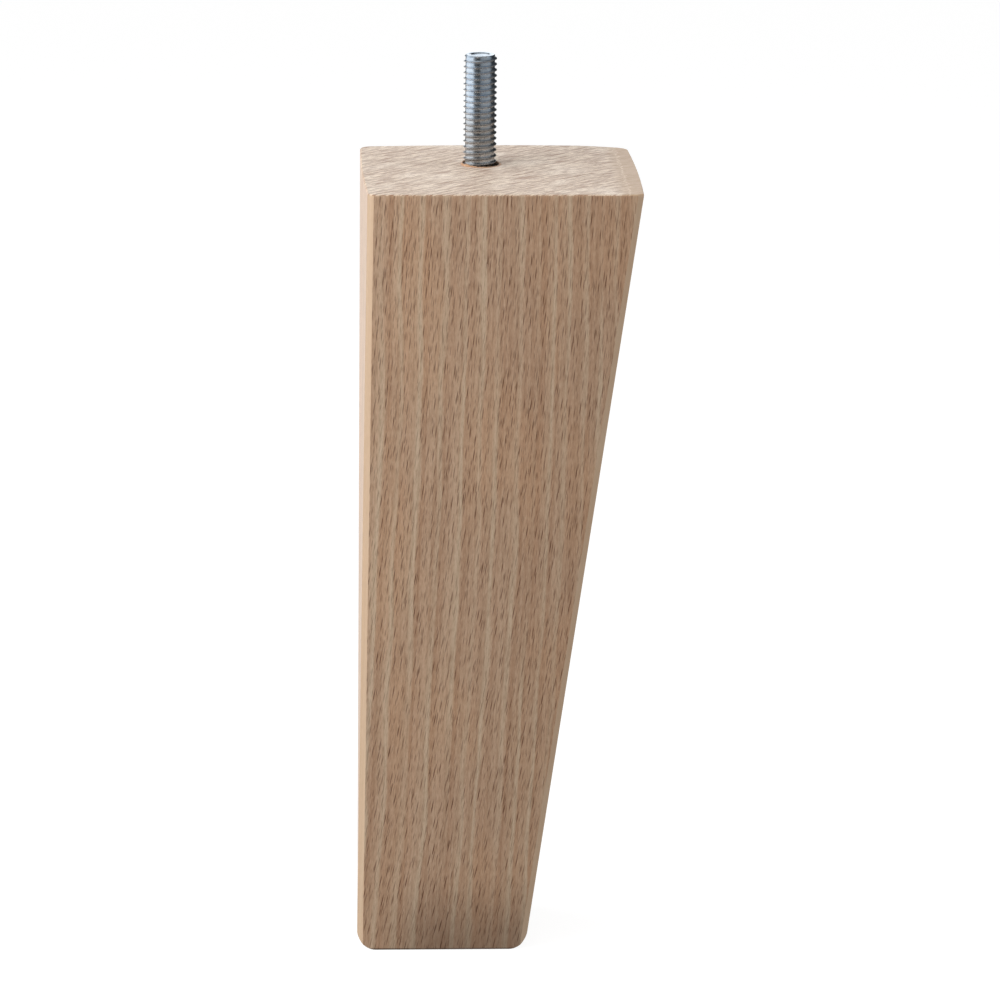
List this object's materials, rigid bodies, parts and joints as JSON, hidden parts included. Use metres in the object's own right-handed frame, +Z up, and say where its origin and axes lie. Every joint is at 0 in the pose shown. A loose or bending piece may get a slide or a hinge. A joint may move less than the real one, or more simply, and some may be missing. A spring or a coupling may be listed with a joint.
{
  "type": "furniture leg",
  "caption": "Square wooden furniture leg, tapered on two adjoining sides, with a screw-in threaded stud in its sawn top.",
  "frame": {"origin": "where the axis of the threaded stud crosses the seat, the leg's flat sawn top end", "axes": "+Z up along the stud, away from the leg; +X towards the slanting side and -Y towards the slanting front, while the left side and the back stand upright; the leg stands on its foot at z = -187.8 mm"},
  "size_m": [0.0651, 0.0635, 0.2139],
  "materials": {
    "beech_wood": "bare, sanded",
    "zinc_plate": "zinc-plated, satin"
  },
  "bodies": {
    "root": {"leg_body": "beech_wood", "hanger_bolt": "zinc_plate"}
  },
  "joints": []
}
